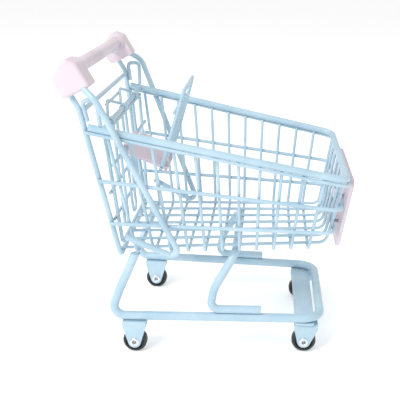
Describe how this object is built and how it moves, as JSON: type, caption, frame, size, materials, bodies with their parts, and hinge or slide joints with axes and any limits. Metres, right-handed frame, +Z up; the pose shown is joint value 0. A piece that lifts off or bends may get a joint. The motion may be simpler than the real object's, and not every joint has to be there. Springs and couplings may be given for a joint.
{
  "type": "miniature shopping cart",
  "caption": "Wire basket on a rod chassis with casters, a swinging rear gate, a folding child seat, a plastic grip and a nose bumper.",
  "frame": {"origin": "on the ground under the middle of the whole cart's box", "axes": "+X to the nose, +Y to the cart's left, +Z up"},
  "size_m": [0.1268, 0.1152, 0.1404],
  "materials": {
    "blue_coat": "satin powder coat",
    "pink_plastic": "satin moulded",
    "black_wheel": "moulded",
    "bright_rivet": "bright",
    "plain_steel": "plain"
  },
  "bodies": {
    "cart": {"axle_rivet_rear_left": "bright_rivet", "axle_rivet_rear_right": "bright_rivet", "brace_rod": "blue_coat", "bumper_clips": "pink_plastic", "bumper_plate": "pink_plastic", "chassis_rod": "blue_coat", "end_cap_left": "pink_plastic", "end_cap_right": "pink_plastic", "floor_cross_wires": "blue_coat", "floor_long_wires": "blue_coat", "front_cross_strip": "blue_coat", "front_wires": "blue_coat", "gate_hinge_bar": "blue_coat", "grip_core_rod": "plain_steel", "grip_tube": "pink_plastic", "handle_rod_left": "blue_coat", "handle_rod_right": "blue_coat", "lower_ring_wire": "blue_coat", "mid_ring_wire": "blue_coat", "rear_fork_left": "blue_coat", "rear_fork_right": "blue_coat", "rear_hoop": "blue_coat", "rim_lower_wire": "blue_coat", "rim_rod": "blue_coat", "side_loop_left": "blue_coat", "side_loop_right": "blue_coat", "side_wires_left": "blue_coat", "side_wires_right": "blue_coat", "swivel_rivet_left": "bright_rivet", "swivel_rivet_right": "bright_rivet", "upper_crossbar": "blue_coat"},
    "gate": {"gate_frame": "blue_coat", "gate_top_bar": "blue_coat", "gate_hairpins": "blue_coat", "gate_crossbars": "blue_coat", "gate_eyes": "blue_coat", "gate_arches": "blue_coat", "gate_tie_wire": "blue_coat", "seat_hinge_bar": "blue_coat"},
    "seat": {"seat_plate": "pink_plastic"},
    "backrest": {"backrest_hinge_wire": "blue_coat", "backrest_frame": "blue_coat", "backrest_crossbar": "blue_coat", "backrest_wires": "blue_coat"},
    "front_caster_left": {"front_fork_left": "blue_coat", "axle_rivet_front_left": "bright_rivet"},
    "front_wheel_left": {"wheel_front_left": "black_wheel"},
    "rear_wheel_left": {"wheel_rear_left": "black_wheel"},
    "front_caster_right": {"front_fork_right": "blue_coat", "axle_rivet_front_right": "bright_rivet"},
    "front_wheel_right": {"wheel_front_right": "black_wheel"},
    "rear_wheel_right": {"wheel_rear_right": "black_wheel"}
  },
  "joints": [
    {"name": "gate_swing", "type": "hinge", "parent": "cart", "child": "gate", "pos_m": [-0.04473, 0, 0.1106], "axis": [0, -1, 0], "range_deg": [0, 75]},
    {"name": "seat_fold", "type": "hinge", "parent": "gate", "child": "seat", "pos_m": [-0.04168, 0, 0.09399], "axis": [0, 1, 0], "range_deg": [0, 57]},
    {"name": "backrest_fold", "type": "hinge", "parent": "seat", "child": "backrest", "pos_m": [-0.02297, 0, 0.08847], "axis": [0, 1, 0], "range_deg": [-80.94, 0]},
    {"name": "caster_swivel_left", "type": "hinge", "parent": "cart", "child": "front_caster_left", "pos_m": [0.04517, 0.0286, 0.014], "axis": [0, 0, 1], "continuous": true},
    {"name": "front_wheel_spin_left", "type": "hinge", "parent": "front_caster_left", "child": "front_wheel_left", "pos_m": [0.04437, 0.0286, 0.0057], "axis": [0, 1, 0], "continuous": true},
    {"name": "rear_wheel_spin_left", "type": "hinge", "parent": "cart", "child": "rear_wheel_left", "pos_m": [-0.03563, 0.03561, 0.0057], "axis": [0, 1, 0], "continuous": true},
    {"name": "caster_swivel_right", "type": "hinge", "parent": "cart", "child": "front_caster_right", "pos_m": [0.04517, -0.0286, 0.014], "axis": [0, 0, 1], "continuous": true},
    {"name": "front_wheel_spin_right", "type": "hinge", "parent": "front_caster_right", "child": "front_wheel_right", "pos_m": [0.04437, -0.0286, 0.0057], "axis": [0, 1, 0], "continuous": true},
    {"name": "rear_wheel_spin_right", "type": "hinge", "parent": "cart", "child": "rear_wheel_right", "pos_m": [-0.03563, -0.03561, 0.0057], "axis": [0, 1, 0], "continuous": true}
  ],
  "couplings": [
    {"joint": "backrest_fold", "follows": "seat_fold", "ratio": -1.42}
  ]
}
